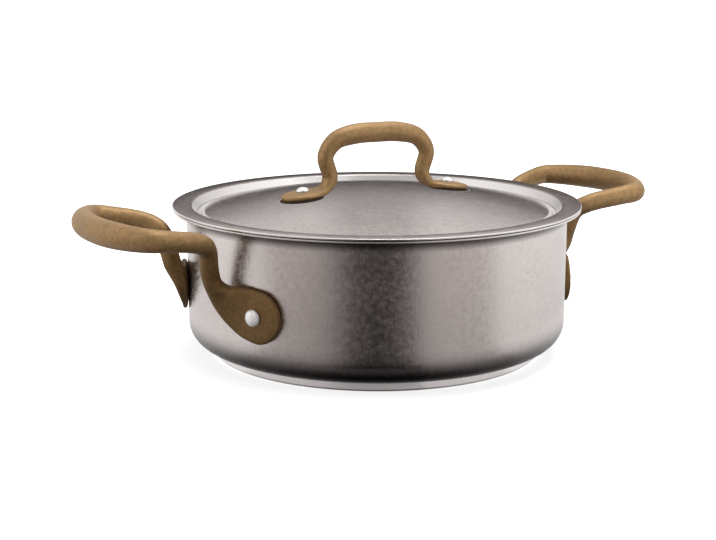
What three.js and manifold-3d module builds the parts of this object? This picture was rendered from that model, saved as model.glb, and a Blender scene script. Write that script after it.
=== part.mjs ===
// A low two-handled roasting pot with a lid: a drawn steel shell on a sandwich base, bent rod handles
// with flattened feet, and one rivet through every foot. Millimetres, +Z up. The origin is the centre of
// the base's underside, and the side handles stand on the X axis.
import * as THREE from "three";
import { mergeVertices } from "three/addons/utils/BufferGeometryUtils.js";
import Module from "manifold-3d";

const wasm = await Module();
wasm.setup();

// Pot shell
const POT_INNER_DIAMETER = 240;
const POT_WALL = 1.5;
const POT_HEIGHT = 94; // table to the top of the pouring lip
const POT_CORNER_RADIUS = 15; // outside, between wall and bottom
const LIP_REACH = 8.7; // how far the lip stands out of the wall
const LIP_BEND_RADIUS = 3; // outside, under the lip

// Sandwich base
const BASE_HEIGHT = 6; // table to the underside of the shell
const BASE_CAP_SHEET = 0.8;
const BASE_CAP_EDGE_RADIUS = 1.8;
const BASE_INSET = 0.4; // cap's outside, in from the flat of the shell's bottom

// Lid
const LID_SHEET = 1.2;
const LID_FLANGE_OVERHANG = 0.4; // past the pot's lip
const LID_PLUG_CLEARANCE = 1.6; // between the lid's sunk wall and the pot's inside
const LID_SINK = 6; // lip seat to the bottom of the lid's groove
const LID_WALL_RUN = 3.5; // how far the sunk wall leans in
const LID_GROOVE_WIDTH = 3;
const LID_BEAD_HEIGHT = 2.2; // step from the groove up to the edge of the dome
const LID_BEAD_RUN = 2.6;
const LID_DOME_RISE = 11; // edge of the dome to its crown
const LID_TURN_DEG = -5; // how far the lid's handle is turned from the side handles

// Side handles
const LOOP_REACH = 68.6; // wall to the middle of the grip's outer end
const LOOP_HALF_WIDTH = 49.6;
const LOOP_RISE = 0.8; // pot's lip up to the middle of the grip
const LOOP_DROP = 7; // grip down to the waist, where the rod turns to the wall
const ELBOW_DROP = 12.2; // grip down to the elbow, where it turns down along the wall
const WAIST_HALF_WIDTH = 40.4;
const WAIST_CLEARANCE = 5.2; // lip's edge to the rod at the waist
const GRIP_ROD_RADIUS = 7.8;
const NECK_ROD_RADIUS = 5.6;
const NECK_CLEARANCE = 5; // wall to the neck's lower end
const NECK_SETBACK = 24.7; // rivet to the neck, round the wall
const NECK_LIFT = 17; // rivet up to the lower end of the neck
const SIDE_RIVET_DROP = 50.3; // pot's lip down to the rivets
const SIDE_RIVET_ANGLE_DEG = 24.65; // from the handle's middle, round the wall
const SIDE_FOOT_RADIUS = 15.5;
const SIDE_FOOT_THICKNESS = 4;

// Lid handle
const ARCH_HEIGHT = 39.5; // dome at the rivets to the middle of the arch
const ARCH_HALF_WIDTH = 35.7;
const ANKLE_HALF_WIDTH = 32.7;
const ARCH_ROD_RADIUS = 6.4;
const ANKLE_ROD_RADIUS = 4.9;
const LID_FOOT_BACK = 18.3; // ankle to the rivet
const LID_FOOT_REACH = 14; // rivet to the foot's tip
const LID_FOOT_HALF_WIDTH = 12.4;
const LID_FOOT_THICKNESS = 4.2;

// Rivets
const RIVET_SHANK_RADIUS = 2.6;
const SIDE_RIVET_HEAD_RADIUS = 5.2;
const LID_RIVET_HEAD_RADIUS = 4;
const RIVET_HEAD_HEIGHT = 2.6;
const RIVET_INNER_HEAD_HEIGHT = 1.4;

// Fits
const SEAT_GAP = 0.3; // between pieces that bear on each other
const SHANK_CLEARANCE = 0.2; // round a rivet's shank

// Fineness of the round surfaces
const TURNED_SIDES = 48;
const ARC_STEPS = 4;
const DOME_STEPS = 7;
const ROD_SIDES = 12;
const ROD_STEPS_PER_STOP = 2;
const RIVET_SIDES = 16;

// Derived places
const wallInner = POT_INNER_DIAMETER / 2;
const wallOuter = wallInner + POT_WALL;
const lipRadius = wallOuter + LIP_REACH;
const bottomFlatRadius = wallOuter - POT_CORNER_RADIUS;
const baseRadius = bottomFlatRadius - BASE_INSET;
const lidSeat = POT_HEIGHT + SEAT_GAP;
const sideRivetHeight = POT_HEIGHT - SIDE_RIVET_DROP;
const sideRivetAngle = THREE.MathUtils.degToRad(SIDE_RIVET_ANGLE_DEG);
const lidWallTop = wallInner - LID_PLUG_CLEARANCE;
const lidGrooveOuter = lidWallTop - LID_WALL_RUN;
const lidBeadOuter = lidGrooveOuter - LID_GROOVE_WIDTH;
const domeRadius = lidBeadOuter - LID_BEAD_RUN;
const domeEdge = lidSeat - LID_SINK + LID_BEAD_HEIGHT;
const lidRivetRadius = ANKLE_HALF_WIDTH + LID_FOOT_BACK;

// Underside of the lid's dome: a shallow bowl of revolution, level at the crown.
const domeHeight = (radius) => domeEdge + LID_DOME_RISE * (1 - (radius / domeRadius) ** 2);
const domeSlope = (radius) => (-2 * LID_DOME_RISE * radius) / domeRadius ** 2;

// Materials, one for each piece
const metal = (color, roughness, metalness = 1) =>
  new THREE.MeshStandardMaterial({ color, roughness, metalness });
const satinSteel = () => metal(0x9b918e, 0.35);
const turnedSteel = () => metal(0xb8b1ae, 0.3);
const aluminium = () => metal(0xb9bcc0, 0.5);
const bronze = () => metal(0x8f6b43, 0.55, 0.7);
const brightSteel = () => metal(0xe4e2df, 0.25);

// A closed geometry as a solid that can be cut and joined, and back again.
function solidOf(geometry) {
  const bare = new THREE.BufferGeometry();
  bare.setAttribute("position", geometry.getAttribute("position"));
  if (geometry.index) bare.setIndex(geometry.index);
  const merged = mergeVertices(bare, 1e-3);
  const mesh = new wasm.Mesh({
    numProp: 3,
    vertProperties: new Float32Array(merged.getAttribute("position").array),
    triVerts: new Uint32Array(merged.index.array),
  });
  return new wasm.Manifold(mesh);
}

function geometryOf(solid) {
  const mesh = solid.getMesh();
  const geometry = new THREE.BufferGeometry();
  geometry.setAttribute("position", new THREE.BufferAttribute(new Float32Array(mesh.vertProperties), 3));
  geometry.setIndex(new THREE.BufferAttribute(new Uint32Array(mesh.triVerts), 1));
  geometry.computeVertexNormals();
  return geometry;
}

function piece(name, geometry, material) {
  const mesh = new THREE.Mesh(geometry, material);
  mesh.name = name;
  return mesh;
}

// A profile of [radius, height] points turned about Z. It runs upwards on the outside.
function turned(profile, sides = TURNED_SIDES) {
  const points = profile.map(([radius, height]) => new THREE.Vector2(radius, height));
  return new THREE.LatheGeometry(points, sides).rotateX(Math.PI / 2);
}

// Points of a round corner from one angle to another, in degrees, anticlockwise if the second is larger.
function arc([centreRadius, centreHeight], radius, from, to, steps = ARC_STEPS) {
  return Array.from({ length: steps + 1 }, (_, i) => {
    const angle = THREE.MathUtils.degToRad(from + ((to - from) * i) / steps);
    return [centreRadius + radius * Math.cos(angle), centreHeight + radius * Math.sin(angle)];
  });
}

// Pot shell: bottom, round corner, straight wall and a pouring lip that turns out flat under the lid.
function potShellProfile() {
  const corner = [wallOuter - POT_CORNER_RADIUS, BASE_HEIGHT + POT_CORNER_RADIUS];
  const bend = [wallOuter + LIP_BEND_RADIUS, POT_HEIGHT - POT_WALL - LIP_BEND_RADIUS];
  const lipEdge = [lipRadius - POT_WALL / 2, POT_HEIGHT - POT_WALL / 2];
  return [
    [0, BASE_HEIGHT],
    ...arc(corner, POT_CORNER_RADIUS, -90, 0),
    ...arc(bend, LIP_BEND_RADIUS, 180, 90),
    ...arc(lipEdge, POT_WALL / 2, -90, 90, 3),
    ...arc(bend, LIP_BEND_RADIUS + POT_WALL, 90, 180),
    ...arc(corner, POT_CORNER_RADIUS - POT_WALL, 0, -90),
    [0, BASE_HEIGHT + POT_WALL],
  ];
}

// Base: an aluminium disc that spreads the heat, held against the shell by a shallow steel cap.
const coreTop = BASE_HEIGHT;
const coreRadius = baseRadius - BASE_CAP_SHEET - SEAT_GAP;

const baseCoreProfile = () => [
  [0, BASE_CAP_SHEET],
  [coreRadius - BASE_CAP_EDGE_RADIUS, BASE_CAP_SHEET],
  [coreRadius, BASE_CAP_SHEET + BASE_CAP_EDGE_RADIUS],
  [coreRadius, coreTop],
  [0, coreTop],
];

function baseCapProfile() {
  const corner = [baseRadius - BASE_CAP_EDGE_RADIUS, BASE_CAP_EDGE_RADIUS];
  return [
    [0, 0],
    ...arc(corner, BASE_CAP_EDGE_RADIUS, -90, 0, 3),
    [baseRadius, coreTop],
    [baseRadius - BASE_CAP_SHEET, coreTop],
    ...arc(corner, BASE_CAP_EDGE_RADIUS - BASE_CAP_SHEET, 0, -90, 3),
    [0, BASE_CAP_SHEET],
  ];
}

// Lid: flat flange on the pot's lip, a sunk wall that centres it, a groove, a bead and a shallow dome.
function lidProfile() {
  const radii = Array.from({ length: DOME_STEPS + 1 }, (_, i) => (domeRadius * i) / DOME_STEPS);
  const flangeRadius = lipRadius + LID_FLANGE_OVERHANG;
  const grooveFloor = lidSeat - LID_SINK;
  const lean = LID_SHEET * 0.3; // keeps the leaning walls near the sheet's own thickness
  const under = [
    ...radii.map((radius) => [radius, domeHeight(radius)]),
    [lidBeadOuter, grooveFloor],
    [lidGrooveOuter, grooveFloor],
    [lidWallTop, lidSeat],
    [flangeRadius, lidSeat],
  ];
  const over = [
    ...radii.map((radius) => [radius, domeHeight(radius) + LID_SHEET]),
    [lidBeadOuter + lean, grooveFloor + LID_SHEET],
    [lidGrooveOuter - lean, grooveFloor + LID_SHEET],
    [lidWallTop - lean, lidSeat + LID_SHEET],
    [flangeRadius, lidSeat + LID_SHEET],
  ];
  return [...under, ...over.reverse()];
}

// A rod of changing section along a smooth path. Each stop has a centre, a half width and a half
// thickness. The thickness lies along the stop's own direction, and flat stops have squarer sections.
function rod(stops, shapePoint = (point) => point) {
  const smooth = (points) => new THREE.CatmullRomCurve3(points, false, "centripetal");
  const path = smooth(stops.map((stop) => stop.at));
  const facing = stops.map((stop) => stop.thickAlong);
  const sizes = stops.map((stop) => new THREE.Vector3(stop.halfWidth, stop.halfThickness, stop.flat));
  const between = (values, t) => {
    const place = Math.min(t * (values.length - 1), values.length - 1 - 1e-9);
    const first = Math.floor(place);
    return values[first].clone().lerp(values[first + 1], place - first);
  };
  const steps = ROD_STEPS_PER_STOP * (stops.length - 1);
  const points = [];
  for (let i = 0; i <= steps; i++) {
    const t = i / steps;
    const centre = path.getPoint(t);
    const along = path.getTangent(t);
    const thick = between(facing, t);
    thick.addScaledVector(along, -thick.dot(along)).normalize();
    const wide = new THREE.Vector3().crossVectors(thick, along).normalize();
    const size = between(sizes, t);
    const power = 1 / (1 + size.z);
    const squared = (share) => Math.sign(share) * Math.abs(share) ** power;
    for (let k = 0; k < ROD_SIDES; k++) {
      const angle = (2 * Math.PI * k) / ROD_SIDES;
      const point = centre.clone();
      point.addScaledVector(wide, size.x * squared(Math.cos(angle)));
      point.addScaledVector(thick, size.y * squared(Math.sin(angle)));
      points.push(shapePoint(point, size.z));
    }
  }
  return closedLoft(points, steps, ROD_SIDES);
}

// Rings of points joined into one closed skin, with a flat cap on each end.
function closedLoft(points, steps, sides) {
  const index = [];
  for (let i = 0; i < steps; i++) {
    for (let k = 0; k < sides; k++) {
      const a = i * sides + k;
      const b = i * sides + ((k + 1) % sides);
      index.push(a, b, a + sides, b, b + sides, a + sides);
    }
  }
  const last = steps * sides;
  for (let k = 1; k < sides - 1; k++) {
    index.push(0, k + 1, k, last, last + k, last + k + 1);
  }
  const geometry = new THREE.BufferGeometry();
  const flat = new Float32Array(points.flatMap((point) => point.toArray()));
  geometry.setAttribute("position", new THREE.BufferAttribute(flat, 3));
  geometry.setIndex(index);
  return geometry;
}

// A cutter or rivet made about Z, stood on a place and pointed along a direction.
function stood(geometry, place, direction) {
  const turn = new THREE.Quaternion().setFromUnitVectors(new THREE.Vector3(0, 0, 1), direction);
  return geometry.applyQuaternion(turn).translate(...place.toArray());
}

// A round hole for a rivet's shank, long enough to pass through the sheet and the foot.
function drilled(geometry, seats) {
  const radius = RIVET_SHANK_RADIUS + SHANK_CLEARANCE;
  const half = 2 * (SIDE_FOOT_THICKNESS + LID_FOOT_THICKNESS);
  return geometryOf(
    seats.reduce((solid, seat) => {
      const hole = turned([[0, -half], [radius, -half], [radius, half], [0, half]], RIVET_SIDES);
      return solid.subtract(solidOf(stood(hole, seat.place, seat.outward)));
    }, solidOf(geometry)),
  );
}

// One rivet: a flat head inside the sheet, a shank, and a domed head on the foot.
// Heights count from the outside of the sheet, where the seat is.
function rivet(seat, sheet, footThickness) {
  const inside = -sheet - seat.insideGap;
  const outside = footThickness + 2 * SEAT_GAP;
  const profile = [
    [0, inside - RIVET_INNER_HEAD_HEIGHT],
    [seat.headRadius * 0.7, inside - RIVET_INNER_HEAD_HEIGHT],
    [seat.headRadius, inside - RIVET_INNER_HEAD_HEIGHT * 0.4],
    [seat.headRadius, inside],
    [RIVET_SHANK_RADIUS, inside],
    [RIVET_SHANK_RADIUS, outside],
    [seat.headRadius, outside],
    [seat.headRadius * 0.9, outside + RIVET_HEAD_HEIGHT * 0.5],
    [seat.headRadius * 0.55, outside + RIVET_HEAD_HEIGHT * 0.88],
    [0, outside + RIVET_HEAD_HEIGHT],
  ];
  return stood(turned(profile, RIVET_SIDES), seat.place, seat.outward);
}

// Where the four side rivets and the two lid rivets cross the outside of their sheets.
function sideSeat(angle) {
  const outward = new THREE.Vector3(Math.cos(angle), Math.sin(angle), 0);
  const place = outward.clone().multiplyScalar(wallOuter).setZ(sideRivetHeight);
  const chordDip = wallInner * (1 - Math.cos(Math.PI / TURNED_SIDES));
  const headDip = SIDE_RIVET_HEAD_RADIUS ** 2 / (2 * wallInner);
  const insideGap = SEAT_GAP + chordDip + headDip;
  return { place, outward, insideGap, headRadius: SIDE_RIVET_HEAD_RADIUS };
}

function lidSeatAt(side) {
  const outward = new THREE.Vector3(-side * domeSlope(lidRivetRadius), 0, 1).normalize();
  const place = new THREE.Vector3(side * lidRivetRadius, 0, domeHeight(lidRivetRadius) + LID_SHEET);
  return { place, outward, insideGap: SEAT_GAP, headRadius: LID_RIVET_HEAD_RADIUS };
}

// Lays a point of a flat foot round the wall, so that the foot's back follows the wall.
function laidOnWall(point, share) {
  const side = point.y < 0 ? -1 : 1;
  const out = new THREE.Vector3(Math.cos(sideRivetAngle), side * Math.sin(sideRivetAngle), 0);
  const round = new THREE.Vector3(-Math.sin(sideRivetAngle), side * Math.cos(sideRivetAngle), 0);
  const turn = point.dot(round) / wallOuter;
  const radius = point.dot(out);
  const laid = out.multiplyScalar(radius * Math.cos(turn)).addScaledVector(round, radius * Math.sin(turn));
  return point.clone().lerp(laid.setZ(point.z), Math.min(1, share));
}

// Stops of half a handle, mirrored to make the whole of it from one foot to the other.
function bothHalves(half, mirror) {
  const other = half.slice(1).map((stop) => ({
    ...stop,
    at: stop.at.clone().multiply(mirror),
    thickAlong: stop.thickAlong.clone().multiply(mirror),
  }));
  return [...other.reverse(), ...half];
}

// A side handle on +X: a bent rod with a wide grip, two necks that come down to the wall, and two feet
// pressed flat against it and turned away from each other.
function sideHandle() {
  const up = new THREE.Vector3(0, 0, 1);
  const inward = new THREE.Vector3(-Math.cos(sideRivetAngle), -Math.sin(sideRivetAngle), 0);
  const round = (out, across, drop, radius) => ({
    at: new THREE.Vector3(wallOuter + out, across, POT_HEIGHT + LOOP_RISE - drop),
    thickAlong: up,
    halfWidth: radius,
    halfThickness: radius,
    flat: 0,
  });
  const waistOut = LIP_REACH + WAIST_CLEARANCE + NECK_ROD_RADIUS;
  const elbowLift = SIDE_RIVET_DROP + LOOP_RISE - ELBOW_DROP;
  const neckOut = NECK_ROD_RADIUS + NECK_CLEARANCE;
  const neck = (lift, out, radius) => {
    const angle = sideRivetAngle - NECK_SETBACK / wallOuter;
    const at = new THREE.Vector3(wallOuter + out, 0, sideRivetHeight + lift).applyAxisAngle(up, angle);
    return { at, thickAlong: inward, halfWidth: radius, halfThickness: radius, flat: 0 };
  };
  const foot = (along, lift, width, thickness, flat = 1) => {
    const halfThickness = (SIDE_FOOT_THICKNESS / 2) * thickness;
    const out = wallOuter + SEAT_GAP + halfThickness;
    const at = new THREE.Vector3(out, SIDE_FOOT_RADIUS * along, sideRivetHeight + SIDE_FOOT_RADIUS * lift);
    at.applyAxisAngle(up, sideRivetAngle);
    return { at, thickAlong: inward, halfWidth: SIDE_FOOT_RADIUS * width, halfThickness, flat };
  };
  const half = [
    round(LOOP_REACH, 0, 0, GRIP_ROD_RADIUS),
    round(LOOP_REACH * 0.96, LOOP_HALF_WIDTH * 0.45, LOOP_DROP * 0.02, GRIP_ROD_RADIUS),
    round(LOOP_REACH * 0.86, LOOP_HALF_WIDTH * 0.79, LOOP_DROP * 0.07, GRIP_ROD_RADIUS * 0.93),
    round(LOOP_REACH * 0.74, LOOP_HALF_WIDTH * 0.98, LOOP_DROP * 0.14, GRIP_ROD_RADIUS * 0.85),
    round(LOOP_REACH * 0.61, LOOP_HALF_WIDTH * 0.97, LOOP_DROP * 0.3, GRIP_ROD_RADIUS * 0.8),
    round(waistOut, WAIST_HALF_WIDTH, LOOP_DROP, NECK_ROD_RADIUS * 1.05),
    round(waistOut * 0.66, WAIST_HALF_WIDTH * 0.86, ELBOW_DROP, NECK_ROD_RADIUS),
    neck(NECK_LIFT + 0.4 * (elbowLift - NECK_LIFT), neckOut * 1.25, NECK_ROD_RADIUS),
    neck(NECK_LIFT, neckOut, NECK_ROD_RADIUS),
    foot(-1.47, 0.66, 0.6, 2.3, 0.2),
    foot(-1.07, 0.37, 0.8, 1.7, 0.6),
    foot(-0.68, 0.19, 0.93, 1.25),
    foot(-(SIDE_RIVET_HEAD_RADIUS + 0.4) / SIDE_FOOT_RADIUS, 0.08, 1, 1),
    foot(0.16, -0.02, 1.02, 1),
    foot(0.58, -0.1, 0.9, 1),
    foot(0.87, -0.16, 0.64, 1),
    foot(1.05, -0.19, 0.26, 0.9),
  ];
  const seats = [sideSeat(-sideRivetAngle), sideSeat(sideRivetAngle)];
  return drilled(rod(bothHalves(half, new THREE.Vector3(1, -1, 1)), laidOnWall), seats);
}

// The lid's handle in the XZ plane: an arch whose ankles come in and whose feet turn out on the dome.
function lidHandle() {
  const seat = lidSeatAt(1);
  const along = new THREE.Vector3(0, 1, 0).cross(seat.outward);
  const rodAt = (across, lift, radius, outward) => ({
    at: new THREE.Vector3(across, 0, seat.place.z + lift),
    thickAlong: outward,
    halfWidth: radius,
    halfThickness: radius,
    flat: 0,
  });
  const foot = (reach, width, thickness, flat = 0.6) => {
    const halfThickness = (LID_FOOT_THICKNESS / 2) * thickness;
    const at = seat.place.clone().addScaledVector(along, reach);
    at.addScaledVector(seat.outward, SEAT_GAP + halfThickness);
    return { at, thickAlong: seat.outward, halfWidth: LID_FOOT_HALF_WIDTH * width, halfThickness, flat };
  };
  const up = new THREE.Vector3(0, 0, 1);
  const side = new THREE.Vector3(1, 0, 0);
  const half = [
    rodAt(0, ARCH_HEIGHT, ARCH_ROD_RADIUS, up),
    rodAt(ARCH_HALF_WIDTH * 0.45, ARCH_HEIGHT * 0.985, ARCH_ROD_RADIUS, up),
    rodAt(ARCH_HALF_WIDTH * 0.81, ARCH_HEIGHT * 0.89, ARCH_ROD_RADIUS * 0.9, up.clone().add(side)),
    rodAt(ARCH_HALF_WIDTH, ARCH_HEIGHT * 0.65, ANKLE_ROD_RADIUS * 1.05, side),
    rodAt(ANKLE_HALF_WIDTH, ARCH_HEIGHT * 0.29, ANKLE_ROD_RADIUS, side),
    foot(ANKLE_ROD_RADIUS - LID_FOOT_BACK, 0.54, 1.36, 0.3),
    foot(-0.38 * LID_FOOT_BACK, 0.82, 1),
    foot(0, 1, 1),
    foot(LID_FOOT_REACH * 0.5, 0.88, 1),
    foot(LID_FOOT_REACH * 0.82, 0.6, 1),
    foot(LID_FOOT_REACH, 0.2, 0.9),
  ];
  const stops = bothHalves(half, new THREE.Vector3(-1, 1, 1));
  return drilled(rod(stops), [lidSeatAt(-1), seat]);
}

// Assembly
const seatAngles = {
  right_front_rivet: -sideRivetAngle,
  right_back_rivet: sideRivetAngle,
  left_back_rivet: Math.PI - sideRivetAngle,
  left_front_rivet: Math.PI + sideRivetAngle,
};
const shell = drilled(turned(potShellProfile()), Object.values(seatAngles).map(sideSeat));
const rightHandle = sideHandle();

const pot = new THREE.Group();
pot.add(piece("pot_shell", shell, satinSteel()));
pot.add(piece("base_core", turned(baseCoreProfile()), aluminium()));
pot.add(piece("base_cap", turned(baseCapProfile()), turnedSteel()));
pot.add(piece("right_handle", rightHandle, bronze()));
pot.add(piece("left_handle", rightHandle.clone().rotateZ(Math.PI), bronze()));
for (const [name, angle] of Object.entries(seatAngles)) {
  pot.add(piece(name, rivet(sideSeat(angle), POT_WALL, SIDE_FOOT_THICKNESS), brightSteel()));
}

const lid = new THREE.Group();
lid.add(piece("lid_shell", drilled(turned(lidProfile()), [lidSeatAt(-1), lidSeatAt(1)]), satinSteel()));
lid.add(piece("lid_handle", lidHandle(), bronze()));
lid.add(piece("lid_left_rivet", rivet(lidSeatAt(-1), LID_SHEET, LID_FOOT_THICKNESS), brightSteel()));
lid.add(piece("lid_right_rivet", rivet(lidSeatAt(1), LID_SHEET, LID_FOOT_THICKNESS), brightSteel()));
lid.rotateZ(THREE.MathUtils.degToRad(LID_TURN_DEG));

const assembly = new THREE.Group();
assembly.add(pot, lid);

export default assembly;
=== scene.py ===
import math

import bmesh
import bpy
from mathutils import Matrix, Vector


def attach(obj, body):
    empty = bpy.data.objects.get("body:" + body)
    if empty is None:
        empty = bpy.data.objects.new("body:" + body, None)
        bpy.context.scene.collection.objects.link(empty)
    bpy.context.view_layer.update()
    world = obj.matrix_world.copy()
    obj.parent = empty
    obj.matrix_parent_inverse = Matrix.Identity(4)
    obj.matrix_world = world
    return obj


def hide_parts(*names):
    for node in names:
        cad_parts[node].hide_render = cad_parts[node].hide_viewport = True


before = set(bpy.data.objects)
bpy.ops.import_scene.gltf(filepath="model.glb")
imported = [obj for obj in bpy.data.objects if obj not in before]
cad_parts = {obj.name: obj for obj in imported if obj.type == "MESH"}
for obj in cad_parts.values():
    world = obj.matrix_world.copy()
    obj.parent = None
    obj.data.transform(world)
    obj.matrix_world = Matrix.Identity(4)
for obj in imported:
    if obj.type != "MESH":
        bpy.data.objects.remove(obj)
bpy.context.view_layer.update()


# Pot shell. One drawn steel sheet: a straight wall, a round bottom corner and a lip that turns out flat
# for pouring. Its finish is tumbled, so the satin surface is mottled all over with tiny dents.
POT_WALL = 0.0015
WALL_OUTSIDE = 0.1215
POT_TOP = 0.094
SHELL_UNDERSIDE = 0.006
BOTTOM_CORNER = 0.015
LIP_BEND = 0.003
LIP_EDGE = 0.1302
BOTTOM_RING = 0.06  # radius of an extra ring of edges on the flat bottom
WALL_RINGS = (0.045, 0.07)  # heights of two extra rings of edges on the wall


def round_corner(centre, radius, start, stop, steps=10):
    """Points of a bend in a sheet's section, between two angles in degrees."""
    angles = [math.radians(start + (stop - start) * i / steps) for i in range(steps + 1)]
    return [(centre[0] + radius * math.cos(a), centre[1] + radius * math.sin(a)) for a in angles]


def spun_sheet(name, section, steps=180):
    """Draws a section with extruded points and spins it round the pot's axis into a closed skin."""
    bpy.ops.object.select_all(action="DESELECT")
    bpy.ops.mesh.primitive_plane_add(size=0.01)
    piece = bpy.context.object
    piece.name = piece.data.name = name
    bpy.ops.object.mode_set(mode="EDIT")
    bpy.ops.mesh.select_all(action="SELECT")
    bpy.ops.mesh.merge(type="CENTER")
    bpy.ops.transform.translate(value=(section[0][0], 0, section[0][1]))
    for (x0, z0), (x1, z1) in zip(section, section[1:]):
        bpy.ops.mesh.extrude_region_move(TRANSFORM_OT_translate={"value": (x1 - x0, 0, z1 - z0)})
    bpy.ops.mesh.select_all(action="SELECT")
    bpy.ops.mesh.spin(steps=steps, angle=2 * math.pi, center=(0, 0, 0), axis=(0, 0, 1))
    bpy.ops.mesh.select_all(action="SELECT")
    bpy.ops.mesh.remove_doubles(threshold=1e-6)
    bpy.ops.mesh.normals_make_consistent(inside=False)
    bpy.ops.object.mode_set(mode="OBJECT")
    bpy.ops.object.shade_smooth_by_angle(angle=math.radians(32))
    return piece


wall_corner = (WALL_OUTSIDE - BOTTOM_CORNER, SHELL_UNDERSIDE + BOTTOM_CORNER)
lip_bend = (WALL_OUTSIDE + LIP_BEND, POT_TOP - POT_WALL - LIP_BEND)
lip_edge = (LIP_EDGE - POT_WALL / 2, POT_TOP - POT_WALL / 2)
pot_shell = spun_sheet(
    "pot_shell_drawn",
    [(0, SHELL_UNDERSIDE), (BOTTOM_RING, SHELL_UNDERSIDE)]
    + round_corner(wall_corner, BOTTOM_CORNER, -90, 0, 14)
    + [(WALL_OUTSIDE, height) for height in WALL_RINGS]
    + round_corner(lip_bend, LIP_BEND, 180, 90, 8)
    + round_corner(lip_edge, POT_WALL / 2, -90, 90, 8)
    + round_corner(lip_bend, LIP_BEND + POT_WALL, 90, 180, 8)
    + [(WALL_OUTSIDE - POT_WALL, height) for height in reversed(WALL_RINGS)]
    + round_corner(wall_corner, BOTTOM_CORNER - POT_WALL, 0, -90, 14)
    + [(BOTTOM_RING, SHELL_UNDERSIDE + POT_WALL), (0, SHELL_UNDERSIDE + POT_WALL)],
)


def feed(tree, socket, value):
    """Sets an input to a number, a vector or a colour, or links another node's output to it."""
    if isinstance(value, bpy.types.NodeSocket):
        tree.links.new(value, socket)
    elif socket.type == "RGBA":
        socket.default_value = (*value, 1)
    else:
        socket.default_value = value


def maths(tree, operation, *values):
    node = tree.nodes.new("ShaderNodeMath")
    node.operation = operation
    for socket, value in zip(node.inputs, values):
        feed(tree, socket, value)
    return node.outputs["Value"]


def vectors(tree, operation, *values):
    node = tree.nodes.new("ShaderNodeVectorMath")
    node.operation = operation
    for socket, value in zip(node.inputs, values):
        feed(tree, socket, value)
    return node.outputs["Value" if operation in ("LENGTH", "DOT_PRODUCT") else "Vector"]


def ranged(tree, value, start, end, low=0.0, high=1.0):
    """Runs from low to high while the value runs from start to end, and stays there beyond them."""
    node = tree.nodes.new("ShaderNodeMapRange")
    for name, number in (("From Min", start), ("From Max", end), ("To Min", low), ("To Max", high)):
        node.inputs[name].default_value = number
    tree.links.new(value, node.inputs["Value"])
    return node.outputs["Result"]


def mixed(tree, factor, first, second, blend="MIX", kind="RGBA"):
    node = tree.nodes.new("ShaderNodeMix")
    node.data_type = kind
    node.blend_type = blend
    for name, value in (("Factor", factor), ("A", first), ("B", second)):
        feed(tree, node.inputs[name], value)
    return node.outputs["Result"]


def noise(tree, place, scale, detail, roughness=0.5):
    node = tree.nodes.new("ShaderNodeTexNoise")
    for name, value in (("Vector", place), ("Scale", scale), ("Detail", detail), ("Roughness", roughness)):
        feed(tree, node.inputs[name], value)
    return node.outputs["Fac"]


def tumbled_finish_group():
    """Worn metal: a fine mottle from tumbling, broad uneven clouds, and short hairline scratches."""
    group = bpy.data.node_groups.new("tumbled_finish", "ShaderNodeTree")
    group.interface.new_socket("Place", in_out="INPUT", socket_type="NodeSocketVector")
    group.interface.new_socket("Grain per metre", in_out="INPUT", socket_type="NodeSocketFloat")
    for name in ("Mottle", "Clouds", "Height"):
        group.interface.new_socket(name, in_out="OUTPUT", socket_type="NodeSocketFloat")
    inputs = group.nodes.new("NodeGroupInput")
    outputs = group.nodes.new("NodeGroupOutput")
    place = inputs.outputs["Place"]

    grain = noise(group, place, inputs.outputs["Grain per metre"], detail=3.0, roughness=0.62)
    mottle = ranged(group, grain, 0.3, 0.7)
    clouds = noise(group, place, scale=42.0, detail=4.0)
    # Three families of scratches cross each other. Each is a noise drawn out across one direction.
    scratches = 0.0
    for turn, fineness in ((0.4, 700.0), (1.3, 900.0), (2.4, 800.0)):
        lay = group.nodes.new("ShaderNodeMapping")
        lay.inputs["Rotation"].default_value = (turn, 0.7 * turn, 1.9 * turn)
        lay.inputs["Scale"].default_value = (fineness, 45.0, 45.0)
        group.links.new(place, lay.inputs["Vector"])
        hairs = ranged(group, noise(group, lay.outputs["Vector"], scale=1.0, detail=1.0), 0.66, 0.76)
        scratches = maths(group, "MAXIMUM", scratches, hairs)
    height = maths(group, "MULTIPLY_ADD", scratches, -0.6, mottle)
    for name, value in (("Mottle", mottle), ("Clouds", clouds), ("Height", height)):
        group.links.new(value, outputs.inputs[name])
    return group


tumbled_finish = tumbled_finish_group()
MOTTLE_SHARE = 0.55
DENT_DEPTH = 0.0002


def tumbled_metal(name, grain, dark, light, roughness, bump, metallic=1.0):
    """A metal with the tumbled finish: two tones, uneven gloss and a shallow bump."""
    material = bpy.data.materials.new(name)
    material.use_nodes = True
    tree = material.node_tree
    metal = tree.nodes["Principled BSDF"]
    metal.inputs["Metallic"].default_value = metallic
    place = tree.nodes.new("ShaderNodeTexCoord")
    finish = tree.nodes.new("ShaderNodeGroup")
    finish.node_tree = tumbled_finish
    finish.inputs["Grain per metre"].default_value = grain
    tree.links.new(place.outputs["Object"], finish.inputs["Place"])

    clouds = maths(tree, "MULTIPLY", finish.outputs["Clouds"], 1 - MOTTLE_SHARE)
    uneven = maths(tree, "MULTIPLY_ADD", finish.outputs["Mottle"], MOTTLE_SHARE, clouds)
    tree.links.new(mixed(tree, uneven, dark, light), metal.inputs["Base Color"])
    tree.links.new(ranged(tree, uneven, 0.0, 1.0, *roughness), metal.inputs["Roughness"])
    relief = tree.nodes.new("ShaderNodeBump")
    relief.inputs["Strength"].default_value = bump
    relief.inputs["Distance"].default_value = DENT_DEPTH
    tree.links.new(finish.outputs["Height"], relief.inputs["Height"])
    tree.links.new(relief.outputs["Normal"], metal.inputs["Normal"])
    return material


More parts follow.
